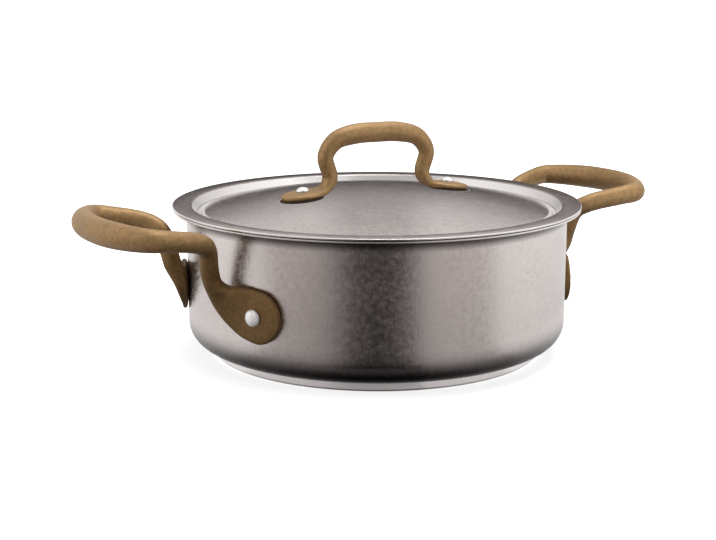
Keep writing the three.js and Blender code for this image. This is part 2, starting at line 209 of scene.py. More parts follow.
def laid_over(tree, socket, mask, top, blend="MIX"):
    """Covers what feeds a shader's socket with a colour or a number, as far as the mask is white."""
    kind = "RGBA" if socket.type == "RGBA" else "FLOAT"
    tree.links.new(mixed(tree, mask, socket.links[0].from_socket, top, blend, kind), socket)


def along_axis(tree, vector, axis):
    node = tree.nodes.new("ShaderNodeSeparateXYZ")
    tree.links.new(vector, node.inputs["Vector"])
    return node.outputs[axis]


def grey_stops(tree, value, stops):
    """A ramp through greys, given as (place, grey), between its black start and its white end."""
    ramp = tree.nodes.new("ShaderNodeValToRGB")
    for at, grey in stops:
        mark = ramp.color_ramp.elements.new(at)
        mark.color = (grey, grey, grey, 1)
    tree.links.new(value, ramp.inputs["Fac"])
    return ramp


pot_steel = tumbled_metal(
    "aged_satin_steel",
    grain=330.0,
    dark=(0.54, 0.495, 0.475),
    light=(0.81, 0.745, 0.725),
    roughness=(0.14, 0.36),
    bump=0.14,
)
tree = pot_steel.node_tree
wall_metal = tree.nodes["Principled BSDF"]
place = tree.nodes["Texture Coordinate"].outputs
# The wall is worked round and round, so its reflections are drawn out up and down.
round_work = tree.nodes.new("ShaderNodeTangent")
round_work.direction_type = "RADIAL"
round_work.axis = "Z"
wall_metal.inputs["Anisotropic"].default_value = 0.85
tree.links.new(round_work.outputs["Tangent"], wall_metal.inputs["Tangent"])
# Painted shade darkens the wall in the crease under the lip, where the lip shades it, and towards the
# corner above the base. Each pair is a share of the pot's height and the share of the metal's brightness
# that is left there.
PAINTED_SHADE_STOPS = (
    (0.07, 0.06), (0.117, 0.09), (0.15, 0.27), (0.18, 0.46), (0.22, 0.66), (0.255, 0.88), (0.30, 1.0),
    (0.91, 1.0), (0.95, 0.22), (0.972, 0.12), (0.985, 1.0),
)
height = maths(tree, "DIVIDE", along_axis(tree, place["Object"], "Z"), POT_TOP)
painted_shade = grey_stops(tree, height, PAINTED_SHADE_STOPS)
# The painted shade lies only on the outside: the faces that point away from the pot's axis or down.
outwards_and_down = vectors(tree, "MULTIPLY_ADD", place["Object"], (1, 1, 0), (0, 0, -POT_TOP))
facing = vectors(tree, "DOT_PRODUCT", place["Normal"], outwards_and_down)
outside = maths(tree, "GREATER_THAN", facing, 0.0)
laid_over(tree, wall_metal.inputs["Base Color"], outside, painted_shade.outputs["Color"], "MULTIPLY")


def distance_from_axis(tree):
    flat = vectors(tree, "MULTIPLY", tree.nodes["Texture Coordinate"].outputs["Object"], (1, 1, 0))
    return vectors(tree, "LENGTH", flat)


RUBBED_TONE = (0.75, 0.715, 0.70)
RUBBED_ROUGHNESS = 0.34
POT_RIM_WORN = (0.1292, 0.1298)


def worn_rim(material, start, end):
    """Rubs the metal bright and dull beyond a radius, as on an edge that is handled and knocked."""
    tree = material.node_tree
    metal = tree.nodes["Principled BSDF"]
    rubbed = ranged(tree, distance_from_axis(tree), start, end)
    laid_over(tree, metal.inputs["Base Color"], rubbed, RUBBED_TONE)
    laid_over(tree, metal.inputs["Roughness"], rubbed, RUBBED_ROUGHNESS)


worn_rim(pot_steel, *POT_RIM_WORN)
pot_shell.data.materials.append(pot_steel)
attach(pot_shell, "pot")
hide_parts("pot_shell")


# Heat-spreading core. A plain rolled aluminium disc, closed in between the shell and the cap, so only
# its finish is given here.
rolled_aluminium = tumbled_metal(
    "rolled_aluminium",
    grain=500.0,
    dark=(0.50, 0.51, 0.52),
    light=(0.66, 0.67, 0.68),
    roughness=(0.35, 0.5),
    bump=0.05,
)
base_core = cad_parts["base_core"]
base_core.data.materials.clear()
base_core.data.materials.append(rolled_aluminium)


# Base cap. A shallow turned steel dish that holds the core against the shell. It is brighter than the
# wall, with a finer grain.
CAP_RADIUS = 0.1061
CAP_SHEET = 0.0008
CAP_EDGE = 0.0018
CAP_BROKEN_EDGE = (0.0003, 0.0004)  # how far the top edge is broken, inwards and down

cap_edge = (CAP_RADIUS - CAP_EDGE, CAP_EDGE)
base_cap = spun_sheet(
    "base_cap_turned",
    [(0, 0), (BOTTOM_RING, 0)]
    + round_corner(cap_edge, CAP_EDGE, -90, 0, 8)
    + [
        (CAP_RADIUS, SHELL_UNDERSIDE - CAP_BROKEN_EDGE[1]),
        (CAP_RADIUS - CAP_BROKEN_EDGE[0], SHELL_UNDERSIDE),
        (CAP_RADIUS - CAP_SHEET, SHELL_UNDERSIDE),
    ]
    + round_corner(cap_edge, CAP_EDGE - CAP_SHEET, 0, -90, 6)
    + [(BOTTOM_RING, CAP_SHEET), (0, CAP_SHEET)],
)
cap_steel = tumbled_metal(
    "turned_cap_steel",
    grain=900.0,
    dark=(0.84, 0.80, 0.79),
    light=(0.96, 0.92, 0.91),
    roughness=(0.26, 0.38),
    bump=0.06,
    metallic=0.85,
)
base_cap.data.materials.append(cap_steel)
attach(base_cap, "pot")
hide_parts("base_cap")


# Side handles. Each is one bent rod of aged bronze: a wide loop to grip, two necks that come down to the
# wall, and two feet that are forged flat to the wall, turned outwards and riveted.
RIVET_ANGLE = math.radians(24.65)
RIVET_HEIGHT = 0.0437
GRIP_HEIGHT = 0.0948
LOOP_REACH = 0.0686
LOOP_HALF_WIDTH = 0.0496
LOOP_DROP = 0.0070
ELBOW_DROP = 0.0122
WAIST_OUT = 0.0195
WAIST_HALF_WIDTH = 0.0404
GRIP_ROD = 0.0078
NECK_ROD = 0.0056
NECK_OUT = 0.0106
NECK_LIFT = 0.0170
NECK_SETBACK = 0.0247
FOOT_RADIUS = 0.0155
FOOT_THICKNESS = 0.0040
SEAT_GAP = 0.0003


def rod_stop(at, thick_along, half_width, half_thickness, flat=0.0):
    """A stop on a rod: its place, the direction of its thickness, and its section from round to flat."""
    size = Vector((half_width, half_thickness, flat))
    return {"at": Vector(at), "thick": Vector(thick_along), "size": size}


def smooth_through(points, share, spaced=True):
    """A value on the smooth curve through points. Places are spaced by distance, sizes by stops."""
    last = len(points) - 1
    index = min(int(share * last), last - 1)
    local = share * last - index
    p1, p2 = points[index], points[index + 1]
    p0 = points[index - 1] if index > 0 else p1 * 2 - p2
    p3 = points[index + 2] if index + 2 <= last else p2 * 2 - p1
    d0, d1, d2 = (
        max((b - a).length, 1e-9) ** 0.5 if spaced else 1.0 for a, b in ((p0, p1), (p1, p2), (p2, p3))
    )
    m1 = ((p1 - p0) / d0 - (p2 - p0) / (d0 + d1) + (p2 - p1) / d1) * d1
    m2 = ((p2 - p1) / d1 - (p3 - p1) / (d1 + d2) + (p3 - p2) / d2) * d1
    t2, t3 = local**2, local**3
    held = p1 * (2 * t3 - 3 * t2 + 1) + p2 * (3 * t2 - 2 * t3)
    return held + m1 * (t3 - 2 * t2 + local) + m2 * (t3 - t2)


def forged_rod(name, stops, lay=lambda point, flat: point, sides=32, steps_per_stop=6):
    """Extrudes a round ring from stop to stop, and shapes it to the rod's section at each step."""
    centres = [stop["at"] for stop in stops]
    thicks = [stop["thick"] for stop in stops]
    sizes = [stop["size"] for stop in stops]
    steps = steps_per_stop * (len(stops) - 1)
    nearby = 1e-4
    bpy.ops.object.select_all(action="DESELECT")
    bpy.ops.mesh.primitive_circle_add(vertices=sides, radius=0.005, fill_type="NGON")
    piece = bpy.context.object
    piece.name = piece.data.name = name
    bpy.ops.object.mode_set(mode="EDIT")
    bpy.ops.mesh.select_all(action="SELECT")
    for step in range(steps + 1):
        share = step / steps
        if step:
            bpy.ops.mesh.extrude_region_move()
        centre = smooth_through(centres, share)
        ahead = smooth_through(centres, min(share + nearby, 1.0))
        behind = smooth_through(centres, max(share - nearby, 0.0))
        along = (ahead - behind).normalized()
        thick = smooth_through(thicks, share, spaced=False)
        thick = (thick - along * thick.dot(along)).normalized()
        wide = thick.cross(along).normalized()
        size = smooth_through(sizes, share, spaced=False)
        power = 1 / (1 + size.z)
        mesh = bmesh.from_edit_mesh(piece.data)
        ring = sorted((v for v in mesh.verts if v.select), key=lambda v: v.index)
        for count, vertex in enumerate(ring):
            angle = 2 * math.pi * count / sides
            x, y = math.cos(angle), math.sin(angle)
            offset = wide * (size.x * math.copysign(abs(x) ** power, x))
            offset += thick * (size.y * math.copysign(abs(y) ** power, y))
            vertex.co = lay(centre + offset, size.z)
        bmesh.update_edit_mesh(piece.data)
    bpy.ops.mesh.select_all(action="SELECT")
    bpy.ops.mesh.normals_make_consistent(inside=False)
    bpy.ops.object.mode_set(mode="OBJECT")
    bpy.ops.object.shade_smooth_by_angle(angle=math.radians(50))
    return piece


def both_halves(half, mirror):
    """Stops from end to end, from those of one half and the signs that mirror x and y."""

    def flip(vector):
        return Vector((vector.x * mirror[0], vector.y * mirror[1], vector.z))

    other = [{"at": flip(s["at"]), "thick": flip(s["thick"]), "size": s["size"]} for s in half[1:]]
    return other[::-1] + half


def laid_on_wall(point, flat):
    """Bends a flat foot round the wall, so that its back follows the wall."""
    side = -1 if point.y < 0 else 1
    out = Vector((math.cos(RIVET_ANGLE), side * math.sin(RIVET_ANGLE), 0))
    round_wall = Vector((-math.sin(RIVET_ANGLE), side * math.cos(RIVET_ANGLE), 0))
    turn = point.dot(round_wall) / WALL_OUTSIDE
    radius = point.dot(out)
    laid = out * (radius * math.cos(turn)) + round_wall * (radius * math.sin(turn))
    return point.lerp(Vector((laid.x, laid.y, point.z)), min(1.0, flat))


def loop_stop(out, across, drop, radius):
    return rod_stop((WALL_OUTSIDE + out, across, GRIP_HEIGHT - drop), (0, 0, 1), radius, radius)


to_pot = Vector((-math.cos(RIVET_ANGLE), -math.sin(RIVET_ANGLE), 0))


def neck_stop(lift, out, radius):
    angle = RIVET_ANGLE - NECK_SETBACK / WALL_OUTSIDE
    reach = WALL_OUTSIDE + out
    at = (reach * math.cos(angle), reach * math.sin(angle), RIVET_HEIGHT + lift)
    return rod_stop(at, to_pot, radius, radius)


def foot_stop(along, lift, width, thickness, flat=1.0):
    """A stop in a foot. Lengths are shares of the foot's radius, and thickness is a share of its own."""
    half_thickness = FOOT_THICKNESS / 2 * thickness
    flat_place = Vector((WALL_OUTSIDE + SEAT_GAP + half_thickness, FOOT_RADIUS * along, 0))
    at = Matrix.Rotation(RIVET_ANGLE, 3, "Z") @ flat_place
    at.z = RIVET_HEIGHT + FOOT_RADIUS * lift
    return rod_stop(at, to_pot, FOOT_RADIUS * width, half_thickness, flat)


foot_end = [math.radians(degrees) for degrees in (0, 18, 36, 52, 66, 77, 84, 88)]
elbow_lift = GRIP_HEIGHT - ELBOW_DROP - RIVET_HEIGHT
half_handle = [
    loop_stop(LOOP_REACH, 0, 0, GRIP_ROD),
    loop_stop(LOOP_REACH * 0.96, LOOP_HALF_WIDTH * 0.45, LOOP_DROP * 0.02, GRIP_ROD),
    loop_stop(LOOP_REACH * 0.86, LOOP_HALF_WIDTH * 0.79, LOOP_DROP * 0.07, GRIP_ROD * 0.93),
    loop_stop(LOOP_REACH * 0.74, LOOP_HALF_WIDTH * 0.98, LOOP_DROP * 0.14, GRIP_ROD * 0.85),
    loop_stop(LOOP_REACH * 0.61, LOOP_HALF_WIDTH * 0.97, LOOP_DROP * 0.3, GRIP_ROD * 0.8),
    loop_stop(WAIST_OUT, WAIST_HALF_WIDTH, LOOP_DROP, NECK_ROD * 1.05),
    loop_stop(WAIST_OUT * 0.66, WAIST_HALF_WIDTH * 0.86, ELBOW_DROP, NECK_ROD),
    neck_stop(NECK_LIFT + 0.4 * (elbow_lift - NECK_LIFT), NECK_OUT * 1.25, NECK_ROD),
    neck_stop(NECK_LIFT, NECK_OUT, NECK_ROD),
    foot_stop(-1.47, 0.66, 0.60, 2.3, 0.2),
    foot_stop(-1.07, 0.37, 0.80, 1.7, 0.6),
    foot_stop(-0.68, 0.19, 0.93, 1.25),
    foot_stop(-0.36, 0.08, 1, 1),
] + [
    foot_stop(0.16 + 0.92 * math.sin(a), -0.02 - 0.18 * math.sin(a), 1.02 * math.cos(a), 1)
    for a in foot_end
]
right_handle = forged_rod("right_handle_forged", both_halves(half_handle, (1, -1)), laid_on_wall)

bpy.ops.object.select_all(action="DESELECT")
right_handle.select_set(True)
bpy.context.view_layer.objects.active = right_handle
bpy.ops.object.duplicate(linked=False)
left_handle = bpy.context.object
left_handle.name = left_handle.data.name = "left_handle_forged"
left_handle.rotation_euler = (0, 0, math.pi)
bpy.ops.object.transform_apply(location=True, rotation=True, scale=True)

aged_bronze = tumbled_metal(
    "aged_bronze",
    grain=420.0,
    dark=(0.21, 0.121, 0.047),
    light=(0.45, 0.282, 0.124),
    roughness=(0.44, 0.60),
    bump=0.40,
    metallic=0.58,
)
# Painted shade browns the necks and feet, by height, and the undersides, by how far they face down. The
# grips above are left at full brightness.
tree = aged_bronze.node_tree
place = tree.nodes["Texture Coordinate"].outputs
for seen_by, shade_below, unshaded_above, shade_tint in (
    ("Object", 0.066, 0.088, (0.60, 0.545, 0.45)),
    ("Normal", -0.9, 0.1, (0.57, 0.55, 0.51)),
):
    bronze_painted_shade = ranged(tree, along_axis(tree, place[seen_by], "Z"), shade_below, unshaded_above, 1.0, 0.0)
    laid_over(tree, tree.nodes["Principled BSDF"].inputs["Base Color"], bronze_painted_shade, shade_tint, "MULTIPLY")
for handle, node in ((right_handle, "right_handle"), (left_handle, "left_handle")):
    handle.data.materials.append(aged_bronze)
    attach(handle, "pot")
    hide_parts(node)


# Side rivets. Bright steel, one through each foot: a low domed head outside, the shank, and a flat head
# set against the inside of the wall.
SIDE_RIVET_HEAD = 0.0052
RIVET_SHANK = 0.0026
HEAD_EDGE = 0.0004
HEAD_DOME = 0.0022
FLAT_HEAD = 0.0014
SIDE_INSIDE_GAP = 0.0006


def rivet_blank(name, head, sheet, foot, inside_gap):
    """A rivet about Z, whose zero height is the outside of the sheet that it goes through."""
    inside = -sheet - inside_gap
    seat = foot + 2 * SEAT_GAP
    rises = [math.radians(9 * i) for i in range(10)]
    section = [
        (0, inside - FLAT_HEAD),
        (head * 0.7, inside - FLAT_HEAD),
        (head * 0.93, inside - FLAT_HEAD + HEAD_EDGE),
        (head, inside - HEAD_EDGE),
        (head, inside),
        (RIVET_SHANK, inside),
        (RIVET_SHANK, seat),
        (head * 0.97, seat),
    ]
    section += [(head * math.cos(a), seat + HEAD_EDGE + HEAD_DOME * math.sin(a)) for a in rises]
    return spun_sheet(name, section + [(0, seat + HEAD_EDGE + HEAD_DOME)], steps=40)


def rivet_set(blank, name, place, outward):
    """A copy of a blank, put through its foot at a place and turned to point outward."""
    bpy.ops.object.select_all(action="DESELECT")
    blank.select_set(True)
    bpy.context.view_layer.objects.active = blank
    bpy.ops.object.duplicate(linked=False)
    rivet = bpy.context.object
    rivet.name = rivet.data.name = name
    turn = Vector((0, 0, 1)).rotation_difference(outward)
    rivet.matrix_world = Matrix.Translation(place) @ turn.to_matrix().to_4x4()
    bpy.ops.object.transform_apply(location=True, rotation=True, scale=True)
    return rivet


bright_steel = tumbled_metal(
    "bright_rivet_steel",
    grain=900.0,
    dark=(0.93, 0.92, 0.91),
    light=(1.0, 0.99, 0.98),
    roughness=(0.30, 0.42),
    bump=0.06,
    metallic=0.7,
)
side_blank = rivet_blank("side_rivet_blank", SIDE_RIVET_HEAD, POT_WALL, FOOT_THICKNESS, SIDE_INSIDE_GAP)
for node, angle in (
    ("right_front_rivet", -RIVET_ANGLE),
    ("right_back_rivet", RIVET_ANGLE),
    ("left_back_rivet", math.pi - RIVET_ANGLE),
    ("left_front_rivet", math.pi + RIVET_ANGLE),
):
    outward = Vector((math.cos(angle), math.sin(angle), 0))
    on_wall = outward * WALL_OUTSIDE + Vector((0, 0, RIVET_HEIGHT))
    rivet = rivet_set(side_blank, node + "_set", on_wall, outward)
    rivet.data.materials.append(bright_steel)
    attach(rivet, "pot")
    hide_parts(node)
bpy.data.objects.remove(side_blank)


# Lid. One pressed steel sheet: a flat flange that lies on the lip, a sunk wall that centres it in the
# pot, a groove, a bead and a shallow dome. It is tumbled like the pot, with a painted pale ring round the
# dome.
LID_SHEET = 0.0012
LID_SEAT = 0.0943
FLANGE_EDGE = 0.13045
SUNK_WALL_TOP = 0.1184
GROOVE_OUTER = 0.1149
BEAD_OUTER = 0.1119
DOME_EDGE = 0.1093
GROOVE_FLOOR = 0.0883
DOME_FOOT = 0.0905
DOME_RISE = 0.011
FOLD_ROUND = 0.0004
LID_RIM_WORN = (0.1295, 0.1301)


def dome_height(radius):
    return DOME_FOOT + DOME_RISE * (1 - (radius / DOME_EDGE) ** 2)


dome_radii = [DOME_EDGE * i / 24 for i in range(25)]
lid_under = [(r, dome_height(r)) for r in dome_radii] + [
    (BEAD_OUTER - FOLD_ROUND, GROOVE_FLOOR + 0.75 * FOLD_ROUND),
    (BEAD_OUTER, GROOVE_FLOOR),
    (GROOVE_OUTER, GROOVE_FLOOR),
    (GROOVE_OUTER + FOLD_ROUND, GROOVE_FLOOR + FOLD_ROUND),
    (SUNK_WALL_TOP - FOLD_ROUND, LID_SEAT - FOLD_ROUND),
    (SUNK_WALL_TOP, LID_SEAT),
]
lid_rim = round_corner(
    (FLANGE_EDGE - LID_SHEET / 2, LID_SEAT + LID_SHEET / 2), LID_SHEET / 2, -90, 90, 8
)
lean = LID_SHEET * 0.3
flange_top = LID_SEAT + LID_SHEET
groove_top = GROOVE_FLOOR + LID_SHEET
lid_over = [
    (SUNK_WALL_TOP + 3 * FOLD_ROUND, flange_top),
    (SUNK_WALL_TOP + 0.5 * FOLD_ROUND, flange_top - 0.5 * FOLD_ROUND),
    (SUNK_WALL_TOP - lean - FOLD_ROUND, flange_top - 2.5 * FOLD_ROUND),
    (GROOVE_OUTER - lean + 1.25 * FOLD_ROUND, groove_top + 1.5 * FOLD_ROUND),
    (GROOVE_OUTER - lean - 0.5 * FOLD_ROUND, groove_top),
    (BEAD_OUTER + lean, groove_top),
    (BEAD_OUTER + lean - 1.5 * FOLD_ROUND, groove_top + 1.25 * FOLD_ROUND),
] + [(r, dome_height(r) + LID_SHEET) for r in dome_radii[::-1]]
lid_shell = spun_sheet("lid_pressed", lid_under + lid_rim + lid_over)
lid_steel = tumbled_metal(
    "lid_satin_steel",
    grain=330.0,
    dark=(0.50, 0.46, 0.44),
    light=(0.68, 0.625, 0.605),
    roughness=(0.13, 0.28),
    bump=0.09,
)
worn_rim(lid_steel, *LID_RIM_WORN)
# The sunk wall, the groove and the bead are painted pale as a painted highlight, with painted shadow lines
# in the two corners between them. Each pair is a share of the way from the dome to the flange and how
# strongly the pale ring is laid on there.
PAINTED_HIGHLIGHT_RING = (
    (0.05, 0.0), (0.10, 0.9), (0.24, 0.9), (0.29, 0.35), (0.34, 0.9), (0.56, 0.9), (0.61, 0.4),
    (0.66, 0.9), (0.95, 0.9), (0.99, 0.0),
)
PAINTED_HIGHLIGHT_TONE = (0.92, 0.895, 0.885)
HIGHLIGHT_METALLIC = 0.3
tree = lid_steel.node_tree
lid_metal = tree.nodes["Principled BSDF"]
place = tree.nodes["Texture Coordinate"].outputs
from_dome = ranged(tree, distance_from_axis(tree), DOME_EDGE, SUNK_WALL_TOP)
painted_highlight = grey_stops(tree, from_dome, PAINTED_HIGHLIGHT_RING)
painted_highlight.color_ramp.elements[-1].color = (0, 0, 0, 1)
# Painted shade: one stretch of the ring, on the side away from the camera, is painted grey.
SHADED_STRETCH = math.radians(59)
STRETCH_SHADE_FROM, STRETCH_SHADE_TO = 0.100, 0.113
STRETCH_SHADE_TONE = (0.44, 0.42, 0.415)
to_stretch = (math.cos(SHADED_STRETCH), math.sin(SHADED_STRETCH), 0)
stretch_shade = ranged(tree, vectors(tree, "DOT_PRODUCT", place["Object"], to_stretch), STRETCH_SHADE_FROM, STRETCH_SHADE_TO)
ring_tone = mixed(tree, stretch_shade, PAINTED_HIGHLIGHT_TONE, STRETCH_SHADE_TONE)
laid_over(tree, lid_metal.inputs["Base Color"], painted_highlight.outputs["Color"], ring_tone)
less_mirror = ranged(tree, painted_highlight.outputs["Color"], 0.0, 1.0, 1.0, HIGHLIGHT_METALLIC)
tree.links.new(less_mirror, lid_metal.inputs["Metallic"])
lid_shell.data.materials.append(lid_steel)
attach(lid_shell, "lid")
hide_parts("lid_shell")


# Lid handle. A thinner rod of the same bronze, bent to an arch whose ankles come in before the flat feet
# turn out along the dome. The lid sits turned a little from the side handles.
LID_TURN = math.radians(-5)
ARCH_HEIGHT = 0.03945
ARCH_HALF_WIDTH = 0.0357
ARCH_ROD = 0.0064
ANKLE_HALF_WIDTH = 0.0327
ANKLE_ROD = 0.0049
LID_RIVET_RADIUS = 0.0510
LID_FOOT_BACK = 0.0183
LID_FOOT_REACH = 0.0140
LID_FOOT_HALF_WIDTH = 0.0124
LID_FOOT_THICKNESS = 0.0042

dome_lean = -2 * DOME_RISE * LID_RIVET_RADIUS / DOME_EDGE**2
lid_outward = Vector((-dome_lean, 0, 1)).normalized()
lid_along = Vector((0, 1, 0)).cross(lid_outward)
lid_seat_place = Vector((LID_RIVET_RADIUS, 0, dome_height(LID_RIVET_RADIUS) + LID_SHEET))


def arch_stop(across, lift, radius, outward):
    return rod_stop((across, 0, lid_seat_place.z + lift), outward, radius, radius)


def lid_foot_stop(reach, width, thickness, flat=0.6):
    """A stop in a lid foot, at a reach from its rivet. Width and thickness are shares of the foot's."""
    half_thickness = LID_FOOT_THICKNESS / 2 * thickness
    at = lid_seat_place + lid_along * reach + lid_outward * (SEAT_GAP + half_thickness)
    return rod_stop(at, lid_outward, LID_FOOT_HALF_WIDTH * width, half_thickness, flat)


half_arch = [
    arch_stop(0, ARCH_HEIGHT, ARCH_ROD, (0, 0, 1)),
    arch_stop(ARCH_HALF_WIDTH * 0.45, ARCH_HEIGHT * 0.985, ARCH_ROD, (0, 0, 1)),
    arch_stop(ARCH_HALF_WIDTH * 0.81, ARCH_HEIGHT * 0.89, ARCH_ROD * 0.9, (1, 0, 1)),
    arch_stop(ARCH_HALF_WIDTH, ARCH_HEIGHT * 0.65, ANKLE_ROD * 1.05, (1, 0, 0)),
    arch_stop(ANKLE_HALF_WIDTH, ARCH_HEIGHT * 0.29, ANKLE_ROD, (1, 0, 0)),
    lid_foot_stop(ANKLE_ROD - LID_FOOT_BACK, 0.54, 1.36, 0.3),
    lid_foot_stop(-0.38 * LID_FOOT_BACK, 0.82, 1),
] + [
    lid_foot_stop(LID_FOOT_REACH * math.sin(a), math.cos(a), 0.5 + 0.5 * math.cos(a)) for a in foot_end
]
lid_handle = forged_rod("lid_handle_forged", both_halves(half_arch, (-1, 1)))
lid_handle.rotation_euler = (0, 0, LID_TURN)
bpy.ops.object.transform_apply(location=True, rotation=True, scale=True)
lid_handle.data.materials.append(aged_bronze)
lid_handle.visible_glossy = False  # the worn dome barely mirrors it
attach(lid_handle, "lid")
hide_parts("lid_handle")

# A painted shadow: a thin dark line on the dome round both feet, where they sit on it.
SHADOW_LENGTH = 0.0130
SHADOW_HALF_WIDTH = 0.0124
PAINTED_SHADOW_TONE = (0.05, 0.032, 0.022)
SHADOW_ROUGHNESS = 1.0
SOLID_TO, GONE_BY = 1.04, 1.15  # shares of the ellipse round a foot
tree = lid_steel.node_tree
to_handle = tree.nodes.new("ShaderNodeMapping")
to_handle.inputs["Rotation"].default_value = (0, 0, -LID_TURN)
tree.links.new(tree.nodes["Texture Coordinate"].outputs["Object"], to_handle.inputs["Vector"])
from_foot = tree.nodes.new("ShaderNodeCombineXYZ")
either_foot = maths(tree, "ABSOLUTE", along_axis(tree, to_handle.outputs["Vector"], "X"))
tree.links.new(either_foot, from_foot.inputs["X"])
tree.links.new(along_axis(tree, to_handle.outputs["Vector"], "Y"), from_foot.inputs["Y"])
foot_middle = (LID_RIVET_RADIUS + LID_FOOT_REACH - SHADOW_LENGTH, 0, 0)
centred = vectors(tree, "SUBTRACT", from_foot.outputs["Vector"], foot_middle)
in_feet = vectors(tree, "DIVIDE", centred, (SHADOW_LENGTH, SHADOW_HALF_WIDTH, 1))
painted_shadow = ranged(tree, vectors(tree, "LENGTH", in_feet), SOLID_TO, GONE_BY, 1.0, 0.0)
laid_over(tree, lid_metal.inputs["Base Color"], painted_shadow, PAINTED_SHADOW_TONE)
laid_over(tree, lid_metal.inputs["Roughness"], painted_shadow, SHADOW_ROUGHNESS)


# Lid rivets. The same bright steel rivets, smaller and shorter, through the lid's two feet. They stand
# square to the dome, and their flat heads are set against the lid's underside.
LID_RIVET_HEAD = 0.0040

lid_blank = rivet_blank("lid_rivet_blank", LID_RIVET_HEAD, LID_SHEET, LID_FOOT_THICKNESS, SEAT_GAP)
turned = Matrix.Rotation(LID_TURN, 3, "Z")
for node, side in (("lid_left_rivet", -1), ("lid_right_rivet", 1)):
    on_dome = turned @ Vector((side * lid_seat_place.x, 0, lid_seat_place.z))
    outward = turned @ Vector((side * lid_outward.x, 0, lid_outward.z))
    rivet = rivet_set(lid_blank, node + "_set", on_dome, outward)
    rivet.visible_glossy = False  # nor does it mirror these
    rivet.data.materials.append(bright_steel)
    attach(rivet, "lid")
    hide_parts(node)
bpy.data.objects.remove(lid_blank)


# Studio floor. A wide pale sheet under the pot that goes on to the white behind it and keeps its shadow.
# To the eye it fades to plain white away from the pot, so that no horizon shows.
FLOOR_SIZE = 12
FLOOR_DROP = 0.0002
FLOOR_GREY = 0.86
FADE_FROM, FADE_TO = 0.14, 0.34
NEAR_LIFT = 0.70

bpy.ops.object.select_all(action="DESELECT")
bpy.ops.mesh.primitive_plane_add(size=FLOOR_SIZE, location=(0, 0, -FLOOR_DROP))
floor = bpy.context.object
floor.name = "studio_floor"
floor_white = bpy.data.materials.new("studio_white")
floor_white.use_nodes = True
tree = floor_white.node_tree
tree.nodes.clear()
sheet = tree.nodes.new("ShaderNodeBsdfDiffuse")
sheet.inputs["Color"].default_value = (FLOOR_GREY, FLOOR_GREY, FLOOR_GREY, 1)
place = tree.nodes.new("ShaderNodeTexCoord")
fade = ranged(tree, vectors(tree, "LENGTH", place.outputs["Object"]), FADE_FROM, FADE_TO, NEAR_LIFT, 1.0)
path = tree.nodes.new("ShaderNodeLightPath")
glow = tree.nodes.new("ShaderNodeEmission")
glow.inputs["Color"].default_value = (1, 1, 1, 1)
tree.links.new(maths(tree, "MULTIPLY", path.outputs["Is Camera Ray"], fade), glow.inputs["Strength"])
both = tree.nodes.new("ShaderNodeAddShader")
tree.links.new(sheet.outputs["BSDF"], both.inputs[0])
tree.links.new(glow.outputs["Emission"], both.inputs[1])
out = tree.nodes.new("ShaderNodeOutputMaterial")
tree.links.new(both.outputs["Shader"], out.inputs["Surface"])
floor.data.materials.append(floor_white)


# Studio light. A white surround for the eye and for the metal, an even fill for the rest, and three large
# soft panels: one on each side of the camera and a stronger one above the pot.
CAMERA_AZIMUTH = math.radians(-30.8)
FILL_STRENGTH = 0.28
PANELS_FACE = Vector((0, 0, 0.06))

world = bpy.data.worlds.new("studio_surround")
bpy.context.scene.world = world
world.use_nodes = True
tree = world.node_tree
tree.nodes.clear()
seen = tree.nodes.new("ShaderNodeBackground")
seen.inputs["Color"].default_value = (1, 1, 1, 1)
seen.inputs["Strength"].default_value = 1.0
fill = tree.nodes.new("ShaderNodeBackground")
fill.inputs["Color"].default_value = (1, 1, 1, 1)
fill.inputs["Strength"].default_value = FILL_STRENGTH
path = tree.nodes.new("ShaderNodeLightPath").outputs
mirrored = maths(tree, "MAXIMUM", path["Is Glossy Ray"], path["Is Transmission Ray"])
choice = tree.nodes.new("ShaderNodeMixShader")
tree.links.new(maths(tree, "MAXIMUM", path["Is Camera Ray"], mirrored), choice.inputs["Fac"])
tree.links.new(fill.outputs["Background"], choice.inputs[1])
tree.links.new(seen.outputs["Background"], choice.inputs[2])
out = tree.nodes.new("ShaderNodeOutputWorld")
tree.links.new(choice.outputs["Shader"], out.inputs["Surface"])


def soft_panel(name, azimuth, distance, height, size, power):
    """An area light round the pot, at an angle to the right of the camera, turned to face the pot."""
    bearing = CAMERA_AZIMUTH + math.radians(azimuth)
    lamp = bpy.data.lights.new(name, "AREA")
    lamp.shape = "RECTANGLE"
    lamp.size, lamp.size_y = size
    lamp.energy = power
    panel = bpy.data.objects.new(name, lamp)
    panel.location = (math.sin(bearing) * distance, -math.cos(bearing) * distance, height)
    panel.rotation_euler = (PANELS_FACE - panel.location).to_track_quat("-Z", "Y").to_euler()
    bpy.context.scene.collection.objects.link(panel)


soft_panel("left_panel", -62, 1.3, 0.85, (0.9, 0.9), 5.0)
soft_panel("right_panel", 58, 1.4, 0.7, (0.9, 1.1), 5.0)
soft_panel("top_panel", 140, 0.4, 1.3, (0.8, 0.8), 11.0)


# Mirrored tent. Cloth hung close round the pot and laid under it, white at its sides, with a dark opening
# towards the camera, a grey back and shade by the base. Only the metal mirrors it, as bands of light.
TENT_RADIUS = 0.21
TENT_TOP = 0.8
BACK_FOOT = 0.0875  # just under the pot's lip, where the back's greys start
HIGH_FROM, HIGH_FULLY = 0.24, 0.30
HIGH_PALER = 0.42
LOW_SHADE_TOP = 0.08
LOW_SHADE = (0.85, 1.08)
